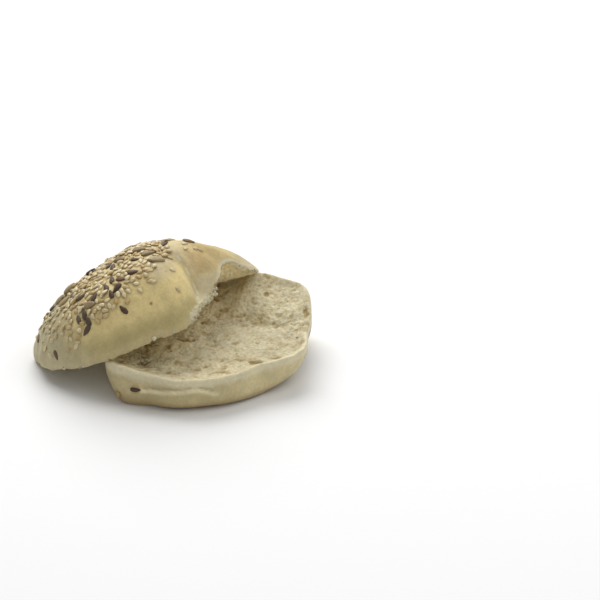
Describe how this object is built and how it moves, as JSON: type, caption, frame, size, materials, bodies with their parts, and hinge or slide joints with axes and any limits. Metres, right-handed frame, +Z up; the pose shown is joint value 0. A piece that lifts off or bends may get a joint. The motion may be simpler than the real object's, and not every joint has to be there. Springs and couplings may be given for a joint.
{
  "type": "bread roll",
  "caption": "Seeded white bread roll cut open: the flat-based bottom half lies crumb side up and the domed, seeded top half leans on its rim with one end on the table.",
  "frame": {"origin": "centre of the floor area that both halves cover, on the table", "axes": "+X from the top half's low end to the open crumb, +Y to the high back rim, +Z up"},
  "size_m": [0.1274, 0.0946, 0.0561],
  "materials": {
    "pale_crust_and_crumb": "matte, open crumb above, smooth pale crust at the sides",
    "golden_seeded_crust": "matte floured crust with sesame, linseed and sunflower seeds"
  },
  "bodies": {
    "root": {"bottom_half": "pale_crust_and_crumb", "top_half": "golden_seeded_crust"}
  },
  "joints": []
}
